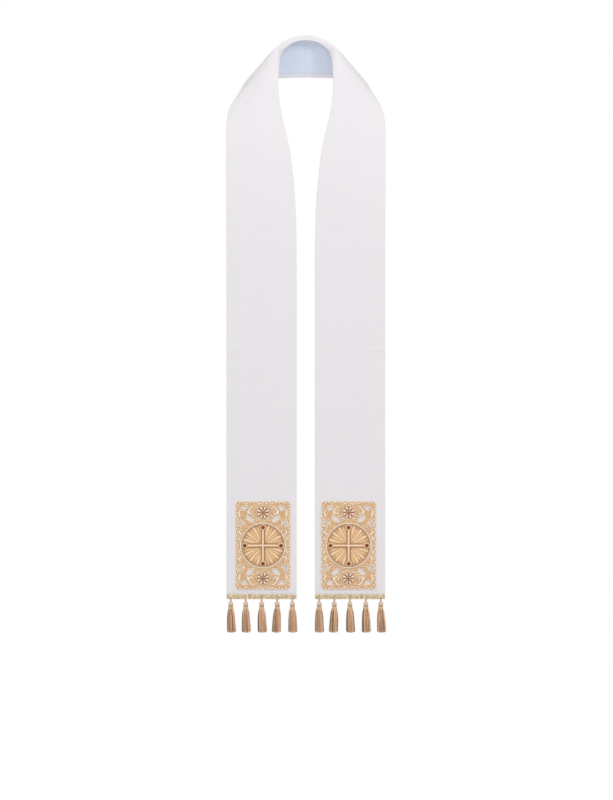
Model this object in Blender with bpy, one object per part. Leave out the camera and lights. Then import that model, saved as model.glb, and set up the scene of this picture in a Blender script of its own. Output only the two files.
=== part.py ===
"""Clerical stole as it is worn: two long strips of cloth, joined at the back of the neck, that lie on the
shoulders and hang down in front. Each end has an embroidered applique, a twisted braid and five tassels.

X is to the viewer's right, Y is away from the viewer and Z is up. The origin is on the neck's axis, at the
height where the stole rests on the shoulders. Left and right are the viewer's. Sizes are in millimetres
until a point becomes part of a mesh."""

import math
from collections import namedtuple

import bmesh
import bpy
import numpy as np
from mathutils import Matrix, Vector

MM = 0.001
GAP = 0.3
SIDES = {"left": -1, "right": 1}

# The hanging panels
PANEL_INNER_X = 19.2
PANEL_OUTER_X = 165.7
PANEL_Y = -138
PANEL_BOTTOM = -1099.5

# The cloth's wall: thin, with its edges turned to the inside and the lining let in between them
CLOTH = 1.2
LINING = 1.0
LINING_GAP = 0.5
TURNED_EDGE = 10
TURNED_STEP = 0.5
TURNED_CLOTH = CLOTH + LINING_GAP + LINING + 0.1
STEPS_BETWEEN_ROWS = 2
BETWEEN_EDGES = (0.04, 0.08, 0.125, 0.19, 0.3, 0.48, 0.68, 0.86)

# Both edges of the right strip, from the centre back seam over the shoulder to the hanging panel. The crown
# is how far the cloth between the edges rounds outwards, and the roll is how far it rises from its inner edge
# before it turns over the neck.
Section = namedtuple("Section", "inner_x inner_y inner_z outer_x outer_y outer_z crown roll")
WORN_SECTIONS = [
    Section(0, 51, 96.6, 0, 97, 22, 3, 20),
    Section(16, 50, 94.8, 28.5, 96, 21, 3, 19.6),
    Section(30.5, 45, 88.5, 58, 88, 19.5, 3, 18.2),
    Section(41, 36, 79, 86, 71.5, 17.5, 3, 16.8),
    Section(48, 23, 69, 105, 53, 13.5, 4, 15.8),
    Section(51.2, 7, 59.5, 119, 30, 7.5, 5.5, 15.3),
    Section(54, -10, 48, 129, 7, 1, 7.5, 13),
    Section(55.8, -26, 33, 135.5, -15, -12, 8, 9),
    Section(57.2, -41, 13.5, 142, -32, -26, 8, 4.5),
    Section(58.4, -57.5, -11, 151.5, -50, -44.5, 7, 1.5),
    Section(57, -70, -38, 161.5, -68, -64, 6, 0),
    Section(49.8, -88, -85, 167.6, -94, -104, 5, 0),
    Section(40, -103, -125, 167.6, -108, -140, 4, 0),
    Section(32.5, -114, -165, 167.3, -118, -177, 3.5, 0),
    Section(27, -122, -210, 167, -128, -220, 3, 0),
    Section(22.5, -129, -260, 166.5, -134, -268, 2.5, 0),
    Section(19.7, -134, -330, 166, -138, -335, 2, 0),
]
MIRRORED = Section(-1, 1, 1, -1, 1, 1, 1, 1)
ROLL_PEAK = 0.18
ROLL_OUTWARDS = 0.55
SLOPE_STEP = 0.01
HEM_TOP = PANEL_BOTTOM + TURNED_EDGE
PANEL_LEVELS = (-450, -600, -850, HEM_TOP + TURNED_STEP, HEM_TOP, PANEL_BOTTOM)
FLAT_BELOW = -850
PANEL_CROWN = 1.5

# The applique at each end, set a little towards the middle of the panel's inner edge
APPLIQUE_X = 89.5
APPLIQUE_Z = -988
APPLIQUE_WIDTH = 116
APPLIQUE_HEIGHT = 186
APPLIQUE_THICK = 1.2
SCALLOPS_ACROSS = 8
SCALLOPS_DOWN = 13
SCALLOP_DEPTH = 3.2

# Openings of the openwork in one quarter of the applique: centre, half lengths and tilt
Opening = namedtuple("Opening", "x y half_long half_short tilt")
OPENINGS = [
    Opening(27, 55, 8.5, 3.6, 35),
    Opening(40, 78, 7.5, 3.4, -30),
    Opening(47.5, 46, 7, 3, 80),
]
OPENING_POINTS = 10

GLORY_RADIUS = 45
GLORY_RAYS = 32
GLORY_THICK = 1.2
CROSS_ARM = 9
CROSS_THICK = 2
STONE_PLACE = 38
STONE_RADIUS = 4.3
STONE_HEIGHT = 3
CROSS_HALF = STONE_PLACE - STONE_RADIUS - GAP
BEAD_RADIUS = 3
BEAD_HEIGHT = 2.6
ROSETTE_PLACE = 69
ROSETTE_RADIUS = 15
ROSETTE_PETALS = 8
ROSETTE_THICK = 2

BRAID_HEIGHT = 11
BRAID_DEPTH = 5.6
BRAID_TOP = -1089.5
BRAID_LENGTH = PANEL_OUTER_X - PANEL_INNER_X - 2 * GAP
BRAID_Y = PANEL_Y - GAP - BRAID_DEPTH / 2
BRAID_Z = BRAID_TOP - BRAID_HEIGHT / 2
BRAID_TURNS = 5
BRAID_RINGS = 36
BRAID_LOBES = 3
BRAID_SIDES = 9
BRAID_GROOVE = 0.22

TASSEL_PLACES = (28, 59.6, 92.2, 125.4, 156.7)
TASSEL_BOTTOM = -1170
TASSEL_SIDES = 12
STRAND_GAP = 0.4
SKIRT_TOP_RADIUS = 6.6
SKIRT_END_RADIUS = 9.8
# Radius of the tassel at each drop below its top: hanging loop, head, wrapped neck, top of the skirt
TasselRing = namedtuple("TasselRing", "drop radius")
TASSEL_RINGS = [
    TasselRing(0, 1.1),
    TasselRing(2.6, 1.3),
    TasselRing(4, 4.2),
    TasselRing(7.5, 5.8),
    TasselRing(11, 5.5),
    TasselRing(15, 5.1),
    TasselRing(17, 6.2),
    TasselRing(19, SKIRT_TOP_RADIUS),
]


def clear_scene():
    for thing in list(bpy.data.objects):
        bpy.data.objects.remove(thing, do_unlink=True)


def collection(name):
    group = bpy.data.collections.new(name)
    bpy.context.scene.collection.children.link(group)
    return group


def material(name, colour, roughness, metallic=0.0, sheen=0.0):
    made = bpy.data.materials.new(name)
    made.use_nodes = True
    shader = made.node_tree.nodes["Principled BSDF"]
    shader.inputs["Base Color"].default_value = (*colour, 1)
    shader.inputs["Roughness"].default_value = roughness
    shader.inputs["Metallic"].default_value = metallic
    shader.inputs["Sheen Weight"].default_value = sheen
    made.diffuse_color = (*colour, 1)
    return made


def make_materials():
    return {
        "cloth": material("ivory cloth", (0.80, 0.79, 0.80), 0.85, sheen=0.3),
        "lining": material("pale blue lining", (0.58, 0.66, 0.78), 0.6),
        "ground": material("gold embroidery", (0.62, 0.40, 0.20), 0.55, metallic=0.2),
        "rays": material("satin gold rays", (0.66, 0.42, 0.22), 0.45, metallic=0.3),
        "padding": material("padded gold cross", (0.70, 0.46, 0.27), 0.4, metallic=0.3),
        "petals": material("russet petals", (0.42, 0.19, 0.10), 0.5),
        "stone": material("red stone", (0.25, 0.03, 0.02), 0.1),
        "bead": material("white bead", (0.80, 0.78, 0.75), 0.2),
        "thread": material("gold thread", (0.50, 0.32, 0.20), 0.6),
    }


def add_object(name, data, finish):
    thing = bpy.data.objects.new(name, data)
    thing.data.materials.append(finish)
    STOLE.objects.link(thing)
    return thing


def mesh_object(name, shape, finish, smooth=True):
    """Object from a bmesh that is in millimetres."""
    bmesh.ops.scale(shape, vec=(MM, MM, MM), verts=shape.verts)
    bmesh.ops.recalc_face_normals(shape, faces=shape.faces)
    mesh = bpy.data.meshes.new(name)
    shape.to_mesh(mesh)
    shape.free()
    if smooth:
        mesh.shade_smooth()
        mesh.set_sharp_from_angle(angle=math.radians(40))
    return add_object(name, mesh, finish)


def strip_rows(bottom_levels):
    """The section table and the straight panel under it, as one array with a row for each section."""
    panel = [
        Section(
            PANEL_INNER_X, PANEL_Y, level,
            PANEL_OUTER_X, PANEL_Y, level,
            PANEL_CROWN if level > FLAT_BELOW else 0, 0,
        )
        for level in bottom_levels
    ]
    return np.array(WORN_SECTIONS + panel, float)


def smooth_rows(rows):
    """Rows between the given ones, on one smooth curve that runs level through the centre back seam."""
    known = np.vstack([rows[1] * MIRRORED, rows])
    spans = np.linalg.norm(np.diff(known[:, :6], axis=0), axis=1)
    along = np.concatenate([[0], np.cumsum(spans)])
    slopes = np.gradient(known, along, axis=0)
    found = []
    for i in range(1, len(known) - 1):
        straight = known[i][2] <= PANEL_LEVELS[0]
        for step in range(1 if straight else STEPS_BETWEEN_ROWS):
            t = step / STEPS_BETWEEN_ROWS
            span = spans[i]
            found.append(
                (2 * t**3 - 3 * t**2 + 1) * known[i]
                + (t**3 - 2 * t**2 + t) * span * slopes[i]
                + (3 * t**2 - 2 * t**3) * known[i + 1]
                + (t**3 - t**2) * span * slopes[i + 1]
            )
    found.append(known[-1])
    return np.array(found)


def hump(share, peak):
    """Rises from nothing at the inner edge to its peak, and falls slowly to nothing at the outer edge."""
    return share / peak * np.exp(1 - share / peak) * (1 - share)


def cloth_points(rows, fractions):
    """Points of the cloth's outer face at every row, at these fractions of the line between its edges."""
    inner = rows[:, None, :3]
    outer = rows[:, None, 3:6]
    share = fractions[:, :, None]
    straight = inner + (outer - inner) * share
    known = np.concatenate([straight[1:2] * (-1, 1, 1), straight])
    down = np.gradient(known, axis=0)[1:]
    lifts = np.cross(down, outer - inner + 0 * straight)
    lifts /= np.linalg.norm(lifts, axis=2, keepdims=True)
    crown, roll = rows[:, None, 6:7], rows[:, None, 7:8]
    bulge = crown * np.sin(math.pi * share) + ROLL_OUTWARDS * roll * hump(share, 2 * ROLL_PEAK)
    return straight + lifts * bulge + roll * hump(share, ROLL_PEAK) * (0, 0, 1)


def across_cloth(rows, edge):
    """Fractions across the strip at each row, for the given distances from its edges, measured along the
    cloth, and for the same shares of what lies between the turned edges."""
    fine = np.linspace(0, 1, 241)
    points = cloth_points(rows, np.tile(fine, (len(rows), 1)))
    first = TURNED_EDGE + TURNED_STEP
    fractions = []
    for steps in np.linalg.norm(np.diff(points, axis=1), axis=2):
        distances = np.concatenate([[0], np.cumsum(steps)])
        width = distances[-1]
        middle = [first + share * (width - 2 * first) for share in BETWEEN_EDGES]
        far = [width - distance for distance in reversed(edge)]
        fractions.append(np.interp([*edge, *middle, *far], distances, fine))
    return np.array(fractions)


def cloth_face(rows, fractions):
    """Points of the cloth's outer face and their outward normals, at every row and fraction."""
    points = cloth_points(rows, fractions)
    known = np.concatenate([points[1:2] * (-1, 1, 1), points])
    down = np.gradient(known, axis=0)[1:]
    across = cloth_points(rows, fractions + SLOPE_STEP) - cloth_points(rows, fractions - SLOPE_STEP)
    normals = np.cross(down, across)
    normals /= np.linalg.norm(normals, axis=2, keepdims=True)
    return points, normals


def split_quad(shape, corners, from_first):
    """Two triangles, cut so that the wall's two faces stay parallel where the cloth twists."""
    a, b, c, d = corners
    for triangle in ((a, b, c), (a, c, d)) if from_first else ((a, b, d), (b, c, d)):
        shape.faces.new(triangle)


def wall(name, side, face, depths, finish):
    """Closed wall between two depths under the cloth's outer face."""
    points, normals = face
    near = points - normals * depths[0][:, :, None]
    far = points - normals * depths[1][:, :, None]
    rings = np.concatenate([near, far[:, ::-1]], axis=1)
    rings[:, :, 0] = side * (rings[:, :, 0] + GAP / 2 * (points[:, :1, 0] < GAP))
    shape = bmesh.new()
    rows = [[shape.verts.new(point) for point in ring] for ring in rings]
    for this, following in zip(rows, rows[1:]):
        for i in range(len(this)):
            j = (i + 1) % len(this)
            corners = (this[i], this[j], following[j], following[i])
            split_quad(shape, corners, from_first=i < len(this) // 2)
    for end in (rows[0], rows[-1]):
        for i in range(len(end) // 2 - 1):
            shape.faces.new((end[i], end[i + 1], end[-2 - i], end[-1 - i]))
    return mesh_object(name, shape, finish)


def make_outer_cloth(side_name, side):
    """Outer cloth of one half, thick along its turned edges and its hem and thin where the lining lies."""
    rows = smooth_rows(strip_rows(PANEL_LEVELS))
    fractions = across_cloth(rows, (0, TURNED_EDGE, TURNED_EDGE + TURNED_STEP))
    back = np.full(fractions.shape, CLOTH, float)
    back[:, :2] = TURNED_CLOTH
    back[:, -2:] = TURNED_CLOTH
    back[rows[:, 2] < HEM_TOP + TURNED_STEP / 2] = TURNED_CLOTH
    front = np.zeros(fractions.shape)
    face = cloth_face(rows, fractions)
    wall(f"outer_cloth_{side_name}", side, face, (front, back), FINISH["cloth"])


def make_lining(side_name, side):
    """Lining of one half, in the hollow between the outer cloth's turned edges."""
    bottom = HEM_TOP + TURNED_STEP + GAP
    rows = smooth_rows(strip_rows((*PANEL_LEVELS[:3], bottom)))
    fractions = across_cloth(rows, (TURNED_EDGE + TURNED_STEP + LINING_GAP,))
    front = np.full(fractions.shape, CLOTH + LINING_GAP)
    face = cloth_face(rows, fractions)
    wall(f"lining_{side_name}", side, face, (front, front + LINING), FINISH["lining"])


def place_on_panel(thing, side, up, out):
    """Turns a flat piece to face the viewer and sets its back this far out from the panel."""
    turned = Matrix.Rotation(math.pi / 2, 4, "X")
    spot = Vector((side * APPLIQUE_X, PANEL_Y - out, APPLIQUE_Z + up)) * MM
    thing.matrix_world = Matrix.Translation(spot) @ turned


def flat_outline(name, outlines, thickness, finish, edge=0.0):
    """Flat piece from its outline and those of its openings."""
    curve = bpy.data.curves.new(name, "CURVE")
    curve.dimensions = "2D"
    curve.fill_mode = "BOTH"
    curve.extrude = (thickness / 2 - edge) * MM
    curve.bevel_depth = edge * MM
    curve.bevel_resolution = 0
    curve.offset = -edge * MM
    for points in outlines:
        line = curve.splines.new("POLY")
        line.points.add(len(points) - 1)
        for point, (x, y) in zip(line.points, points):
            point.co = (x * MM, y * MM, 0, 1)
        line.use_cyclic_u = True
    return add_object(name, curve, finish)


def scalloped_rectangle():
    """Rectangle whose sides are even rounded scallops, counted per side."""
    half_width = APPLIQUE_WIDTH / 2 - SCALLOP_DEPTH
    half_height = APPLIQUE_HEIGHT / 2 - SCALLOP_DEPTH
    corners = [(-1, -1), (1, -1), (1, 1), (-1, 1)]
    counts = [SCALLOPS_ACROSS, SCALLOPS_DOWN] * 2
    points = []
    for i, count in enumerate(counts):
        start = Vector((corners[i][0] * half_width, corners[i][1] * half_height))
        stop = Vector((corners[(i + 1) % 4][0] * half_width, corners[(i + 1) % 4][1] * half_height))
        outwards = Vector((stop.y - start.y, start.x - stop.x)).normalized()
        for scallop in range(count):
            for share in (0, 0.3, 0.7):
                place = start.lerp(stop, (scallop + share) / count)
                bulge = SCALLOP_DEPTH if share else 0
                points.append(tuple(place + outwards * bulge))
    return points


def openwork():
    """Outlines of the openings, the same in all four quarters."""
    outlines = []
    for opening in OPENINGS:
        for across in (-1, 1):
            for up in (-1, 1):
                tilt = math.radians(opening.tilt)
                points = []
                for i in range(OPENING_POINTS):
                    angle = i * math.tau / OPENING_POINTS
                    long = opening.half_long * math.cos(angle)
                    short = opening.half_short * math.sin(angle)
                    x = opening.x + long * math.cos(tilt) - short * math.sin(tilt)
                    y = opening.y + long * math.sin(tilt) + short * math.cos(tilt)
                    points.append((across * x, up * y))
                outlines.append(points)
    return outlines


def make_ground(side_name, side):
    """Ground of the applique, which carries its raised pieces."""
    name = f"applique_ground_{side_name}"
    outlines = [scalloped_rectangle()] + openwork()
    ground = flat_outline(name, outlines, APPLIQUE_THICK, FINISH["ground"])
    place_on_panel(ground, side, 0, GAP + APPLIQUE_THICK / 2)


def rayed_disc(name, steps, outline, top, base_thick, finish):
    """Disc whose rim radius and top height follow formulas of the angle's step; its underside is flat."""
    shape = bmesh.new()
    bmesh.ops.create_cone(
        shape, cap_ends=True, cap_tris=True, segments=steps, radius1=1, radius2=1, depth=base_thick
    )
    for point in shape.verts:
        upper = point.co.z > 0
        if point.co.xy.length > 0.5:
            step = round(math.atan2(point.co.y, point.co.x) / math.tau * steps) % steps
            point.co.xy = point.co.xy.normalized() * outline(step)
            lift = top(step)
        else:
            lift = base_thick
        point.co.z = lift if upper else 0
    return mesh_object(name, shape, finish, smooth=False)


def make_glory(side_name, side, out):
    """Disc of gold rays, folded so that every ray is a ridge."""
    glory = rayed_disc(
        f"glory_{side_name}", 2 * GLORY_RAYS,
        outline=lambda step: GLORY_RADIUS,
        top=lambda step: GLORY_THICK if step % 2 else GLORY_THICK * 0.5,
        base_thick=GLORY_THICK,
        finish=FINISH["rays"],
    )
    place_on_panel(glory, side, 0, out)


def make_rosette(name, side, up, out):
    """Flower of pointed petals with a raised middle."""
    steps = 4 * ROSETTE_PETALS
    petal = (ROSETTE_RADIUS, ROSETTE_RADIUS * 0.82, ROSETTE_RADIUS * 0.45, ROSETTE_RADIUS * 0.82)
    rosette = rayed_disc(
        name, steps,
        outline=lambda step: petal[step % 4],
        top=lambda step: ROSETTE_THICK * (0.45 if step % 4 else 0.7),
        base_thick=ROSETTE_THICK,
        finish=FINISH["petals"],
    )
    place_on_panel(rosette, side, up, out)


def make_cross(side_name, side, out):
    arm = CROSS_ARM / 2
    quarter = [(CROSS_HALF, -arm), (CROSS_HALF, arm), (arm, arm)]
    points = []
    for turn in range(4):
        for x, y in quarter:
            points.append(tuple(Matrix.Rotation(turn * math.pi / 2, 2) @ Vector((x, y))))
    cross = flat_outline(f"cross_{side_name}", [points], CROSS_THICK, FINISH["padding"], edge=0.8)
    place_on_panel(cross, side, 0, out + CROSS_THICK / 2)


def dome(name, radius, height, finish):
    """Half a ball, flattened to its height, on a flat base."""
    shape = bmesh.new()
    bmesh.ops.create_uvsphere(shape, u_segments=12, v_segments=6, radius=radius)
    everything = shape.verts[:] + shape.edges[:] + shape.faces[:]
    bmesh.ops.bisect_plane(
        shape, geom=everything, plane_co=(0, 0, 0), plane_no=(0, 0, 1), dist=0.01, clear_inner=True
    )
    bmesh.ops.holes_fill(shape, edges=shape.edges)
    bmesh.ops.scale(shape, vec=(1, 1, height / radius), verts=shape.verts)
    return mesh_object(name, shape, finish)


def make_stones(side_name, side, out):
    places = {"top": (0, 1), "bottom": (0, -1), "inner": (-side, 0), "outer": (side, 0)}
    for place, (x, y) in places.items():
        stone = dome(f"stone_{place}_{side_name}", STONE_RADIUS, STONE_HEIGHT, FINISH["stone"])
        place_on_panel(stone, side, y * STONE_PLACE, out)
        stone.location.x += x * STONE_PLACE * MM


def make_bead(side_name, side, out):
    bead = dome(f"centre_bead_{side_name}", BEAD_RADIUS, BEAD_HEIGHT, FINISH["bead"])
    place_on_panel(bead, side, 0, out)


def make_applique(side_name, side):
    """The applique's layers, each clear of the one under it."""
    on_ground = GAP + APPLIQUE_THICK + GAP
    on_glory = on_ground + GLORY_THICK + GAP
    on_cross = on_glory + CROSS_THICK + GAP
    make_ground(side_name, side)
    make_glory(side_name, side, on_ground)
    make_cross(side_name, side, on_glory)
    make_stones(side_name, side, on_glory)
    make_bead(side_name, side, on_cross)
    make_rosette(f"rosette_top_{side_name}", side, ROSETTE_PLACE, on_ground)
    make_rosette(f"rosette_bottom_{side_name}", side, -ROSETTE_PLACE, on_ground)


def braid_section(along):
    """Height and depth of the braid's corners at this share of its length: three lobes that turn."""
    twist = along * BRAID_TURNS * math.tau / BRAID_LOBES
    corners = []
    for i in range(BRAID_SIDES):
        angle = i * math.tau / BRAID_SIDES + twist
        radius = 1 - BRAID_GROOVE * (i % BRAID_LOBES == 0)
        corners.append((radius * math.sin(angle) * BRAID_HEIGHT / 2, radius * math.cos(angle) * BRAID_DEPTH / 2))
    return corners


def make_braid(side_name, side):
    """Twisted cord of three strands, flattened, along the hem."""
    sides = BRAID_SIDES
    shape = bmesh.new()
    rings = []
    for ring in range(BRAID_RINGS + 1):
        along = ring / BRAID_RINGS
        x = side * (PANEL_INNER_X + GAP + along * BRAID_LENGTH)
        points = []
        for height, depth in braid_section(along):
            points.append(shape.verts.new((x, BRAID_Y + depth, BRAID_Z + height)))
        rings.append(points)
    for this, following in zip(rings, rings[1:]):
        for i in range(sides):
            j = (i + 1) % sides
            shape.faces.new((this[i], this[j], following[j], following[i]))
    shape.faces.new(rings[0])
    shape.faces.new(rings[-1])
    mesh_object(f"braid_{side_name}", shape, FINISH["thread"])


def make_tassel(name, side, across):
    """Turned head and wrapped neck, with the skirt's strands hanging apart from the plate under it. The loop
    at its top reaches up to the braid's underside."""
    top = BRAID_Z - BRAID_HEIGHT / 2 - GAP
    underside = min(height for height, depth in braid_section((across - PANEL_INNER_X - GAP) / BRAID_LENGTH))
    loop_top = BRAID_Z + underside - GAP - top
    shape = bmesh.new()
    profile = [(0, loop_top), (TASSEL_RINGS[0].radius, loop_top)]
    profile += [(ring.radius, -ring.drop) for ring in TASSEL_RINGS[1:]]
    plate_level = profile[-1][1]
    profile += [(SKIRT_TOP_RADIUS / 2, plate_level), (0, plate_level)]
    line = [shape.verts.new((radius, 0, height)) for radius, height in profile]
    edges = [shape.edges.new(pair) for pair in zip(line, line[1:])]
    bmesh.ops.spin(
        shape, geom=line + edges, cent=(0, 0, 0), axis=(0, 0, 1), angle=math.tau,
        steps=TASSEL_SIDES, use_merge=True,
    )
    bmesh.ops.remove_doubles(shape, verts=shape.verts, dist=0.001)
    join_inner_plate(shape, plate_level)
    bmesh.ops.recalc_face_normals(shape, faces=shape.faces)
    plate = [face for face in shape.faces if all(abs(v.co.z - plate_level) < 0.01 for v in face.verts)]
    bmesh.ops.inset_individual(shape, faces=plate, thickness=STRAND_GAP)
    strands = bmesh.ops.extrude_discrete_faces(shape, faces=plate)["faces"]
    spread = SKIRT_END_RADIUS / SKIRT_TOP_RADIUS
    for strand in strands:
        for point in strand.verts:
            point.co = (point.co.x * spread, point.co.y * spread, TASSEL_BOTTOM - top)
    place = (side * across, BRAID_Y, top)
    bmesh.ops.translate(shape, vec=place, verts=shape.verts)
    mesh_object(name, shape, FINISH["thread"])


def join_inner_plate(shape, level):
    """Joins the plate's innermost wedges in pairs, so that each makes one four-sided strand."""
    spokes = []
    for edge in shape.edges:
        radii = sorted(point.co.xy.length for point in edge.verts)
        on_plate = all(abs(point.co.z - level) < 0.01 for point in edge.verts)
        if on_plate and radii[0] < 0.01:
            spokes.append(edge)
    spokes.sort(key=lambda edge: max(math.atan2(v.co.y, v.co.x) for v in edge.verts if v.co.xy.length > 0.01))
    bmesh.ops.dissolve_edges(shape, edges=spokes[::2], use_verts=False)


def make_side(side_name, side):
    make_outer_cloth(side_name, side)
    make_lining(side_name, side)
    make_applique(side_name, side)
    make_braid(side_name, side)
    for number, across in enumerate(TASSEL_PLACES, start=1):
        make_tassel(f"tassel_{number}_{side_name}", side, across)


clear_scene()
STOLE = collection("clerical stole")
FINISH = make_materials()
for side_name, side in SIDES.items():
    make_side(side_name, side)
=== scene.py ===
"""Looks of the clerical stole: folded ivory cloth with its lining, gold embroidery, braids and tassels.

Points are worked out in millimetres and become metres when a piece is finished. X is to the viewer's right,
Y is away from the viewer and Z is up. Left and right are the viewer's."""

import math
import random
from collections import namedtuple

import bmesh
import bpy
import numpy as np
from mathutils import Matrix, Vector


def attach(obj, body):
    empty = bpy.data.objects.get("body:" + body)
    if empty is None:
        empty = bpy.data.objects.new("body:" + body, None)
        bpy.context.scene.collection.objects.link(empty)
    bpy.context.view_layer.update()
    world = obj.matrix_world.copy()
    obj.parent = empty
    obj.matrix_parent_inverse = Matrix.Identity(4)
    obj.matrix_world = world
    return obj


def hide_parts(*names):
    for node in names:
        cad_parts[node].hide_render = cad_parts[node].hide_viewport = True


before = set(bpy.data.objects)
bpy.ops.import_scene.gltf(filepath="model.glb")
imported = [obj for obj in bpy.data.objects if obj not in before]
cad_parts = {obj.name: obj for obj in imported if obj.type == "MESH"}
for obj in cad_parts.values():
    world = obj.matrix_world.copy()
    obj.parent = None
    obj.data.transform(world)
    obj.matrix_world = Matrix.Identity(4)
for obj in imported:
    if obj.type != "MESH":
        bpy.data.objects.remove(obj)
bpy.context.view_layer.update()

MM = 0.001
IN_MM = (1000, 1000, 1000)
SIDES = {"left": -1, "right": 1}

# Camera, floor and light, in metres
CAMERA_PLACE = (0.0015, -5.138, -0.684)
CAMERA_LENS = 107.66
FLOOR_LEVEL = -1.55
FLOOR_GLOW = 0.7
BACKGROUND_LIGHT = 0.59
BACKGROUND_SEEN = 1.0
Lamp = namedtuple("Lamp", "name place target width power")
LAMPS = [
    Lamp("key light", (1.7, -3.2, 2.0), (0, -0.1, -0.4), 1.4, 45),
    Lamp("fill light", (-1.7, -3.2, 2.0), (0, -0.1, -0.4), 2.0, 30),
    Lamp("front light", (0.2, -3.6, -0.3), (0, 0, 0), 1.0, 18.5),
    Lamp("top light", (0, 0.6, 2.6), (0, 0, -0.4), 2.0, 17),
    Lamp("reflector", (0, -0.03, -0.42), (0, 0.04, 0.05), 0.1, 0.26),
]

# The strip as it is worn, as in the solids: both edges of the right half, how far the cloth between them
# rounds outwards, and how far it rises from its inner edge before it turns over the neck
PANEL_INNER_X = 19.2
PANEL_OUTER_X = 165.7
PANEL_Y = -138
PANEL_BOTTOM = -1099.5
Section = namedtuple("Section", "inner_x inner_y inner_z outer_x outer_y outer_z crown roll")
WORN_SECTIONS = [
    Section(0, 51, 96.6, 0, 97, 22, 3, 20),
    Section(16, 50, 94.8, 28.5, 96, 21, 3, 19.6),
    Section(30.5, 45, 88.5, 58, 88, 19.5, 3, 18.2),
    Section(41, 36, 79, 86, 71.5, 17.5, 3, 16.8),
    Section(48, 23, 69, 105, 53, 13.5, 4, 15.8),
    Section(51.2, 7, 59.5, 119, 30, 7.5, 5.5, 15.3),
    Section(54, -10, 48, 129, 7, 1, 7.5, 13),
    Section(55.8, -26, 33, 135.5, -15, -12, 8, 9),
    Section(57.2, -41, 13.5, 142, -32, -26, 8, 4.5),
    Section(58.4, -57.5, -11, 151.5, -50, -44.5, 7, 1.5),
    Section(57, -70, -38, 161.5, -68, -64, 6, 0),
    Section(49.8, -88, -85, 167.6, -94, -104, 5, 0),
    Section(40, -103, -125, 167.6, -108, -140, 4, 0),
    Section(32.5, -114, -165, 167.3, -118, -177, 3.5, 0),
    Section(27, -122, -210, 167, -128, -220, 3, 0),
    Section(22.5, -129, -260, 166.5, -134, -268, 2.5, 0),
    Section(19.7, -134, -330, 166, -138, -335, 2, 0),
]
ROLL_PEAK = 0.18
ROLL_OUTWARDS = 0.55
FINE_SHARES = np.linspace(0, 1, 401)
# Shares across the cloth's grid, closer together where it turns over the neck
ACROSS_SHARES = np.concatenate([np.linspace(0, 0.3, 24), np.linspace(0.3, 1, 26)[1:]])
PANEL_LEVELS = (-450, -600, -850, -1089, PANEL_BOTTOM)
FLAT_BELOW = -850
PANEL_CROWN = 1.5
MIRRORED = Section(-1, 1, 1, -1, 1, 1, 1, 1)

# Cloth: one layer, turned back at its edges and hem, with the lining slip-stitched over the turnings
CLOTH = 0.6
FOLD = 1.1
TURNING = 14
LINING_FROM_EDGE = 10
LINING_DEPTH = 2.95
LINING_THICK = 0.35
LINING_EDGE = 8
STITCH_SPACING = 7
STITCH_REACH = 0.9
STITCH_RADIUS = 0.2
SEAM_GAP = 0.04
CLOTH_ROWS = 420
LINING_ROWS = 200
LINING_FIRST_ROW = 1.6

# Soft ridges (height over 0) and troughs in the cloth. Along is from the centre back seam, across from the
# neck's edge; the slant turns a crease from straight across towards the hem at its outer end.
Crease = namedtuple("Crease", "along across reach width height slant")
CREASES = [
    Crease(781.7, 131, 17, 3.2, 0.9, 0),
    Crease(798.7, 134, 15, 5.5, -0.5, -4),
    Crease(820.2, 130, 18, 5.0, 1.0, 3),
    Crease(905, 28, 20, 9, 0.5, 12),
    Crease(640, 18, 22, 8, -0.6, -14),
    Crease(560, 112, 26, 10, 0.5, 10),
    Crease(470, 60, 60, 16, 0.8, 82),
    Crease(330, 92, 70, 14, -1.0, 78),
    Crease(265, 40, 48, 10, 0.9, 68),
    Crease(232, 66, 40, 9, -1.1, 60),
    Crease(205, 84, 32, 8, 1.0, 48),
    Crease(150, 60, 26, 7, -1.0, 34),
    Crease(118, 30, 20, 6, 0.7, 24),
    Crease(74, 66, 30, 8, 0.9, -18),
    Crease(46, 40, 24, 7, -0.8, -8),
    Crease(18, 72, 22, 9, 0.6, 6),
]

# Radius of a twisted cord in the groove between its plies, as a share of its full radius
PLY_GROOVE = 0.74

# The applique, measured from its middle: x across, y up and z out from the panel's face
APPLIQUE_X = 89.5
APPLIQUE_Z = -988
APPLIQUE_WIDTH = 116
APPLIQUE_HEIGHT = 186
SCALLOPS_ACROSS = 8
SCALLOPS_DOWN = 13
SCALLOP_DEPTH = 3.2
Opening = namedtuple("Opening", "x y half_long half_short tilt")
OPENINGS = [
    Opening(27, 55, 8.5, 3.6, 35),
    Opening(40, 78, 7.5, 3.4, -30),
    Opening(47.5, 46, 7, 3, 80),
]
QUARTERS = ((-1, -1), (-1, 1), (1, -1), (1, 1))
GROUND_BACK = 0.3
GROUND_FACE = 1.25
BORDER_INSET = 10.5
BORDER_CORNER = 4
LEAF_WIDENING = 1.4
LEAF_EDGE = 2.0
STEM_BACK = GROUND_FACE - 0.1
STEM_HEIGHT = 0.5
GLORY_RADIUS = 45
GLORY_RAYS = 32
RAY_START = 9
LONG_RAY = 43.5
SHORT_RAY = 40.5
CROSS_HALF = 33.4
CROSS_BACK = 2.4
CROSS_PAD_WIDTH = 4.8
CrossCord = namedtuple("CrossCord", "offset radius height finish")
CROSS_CORDS = [CrossCord(3.35, 1.2, 3.1, "dark rope"), CrossCord(5.2, 0.8, 2.9, "rope")]
STONE_PLACE = 38
STONE_RADIUS = 4.3
STONE_BACK = 3.3
STONE_HEIGHT = 3
BEAD_RADIUS = 2.9
BEAD_MIDDLE = 5.3
ROSETTE_PLACE = 69
ROSETTE_RADIUS = 15
ROSETTE_PETALS = 8

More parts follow.
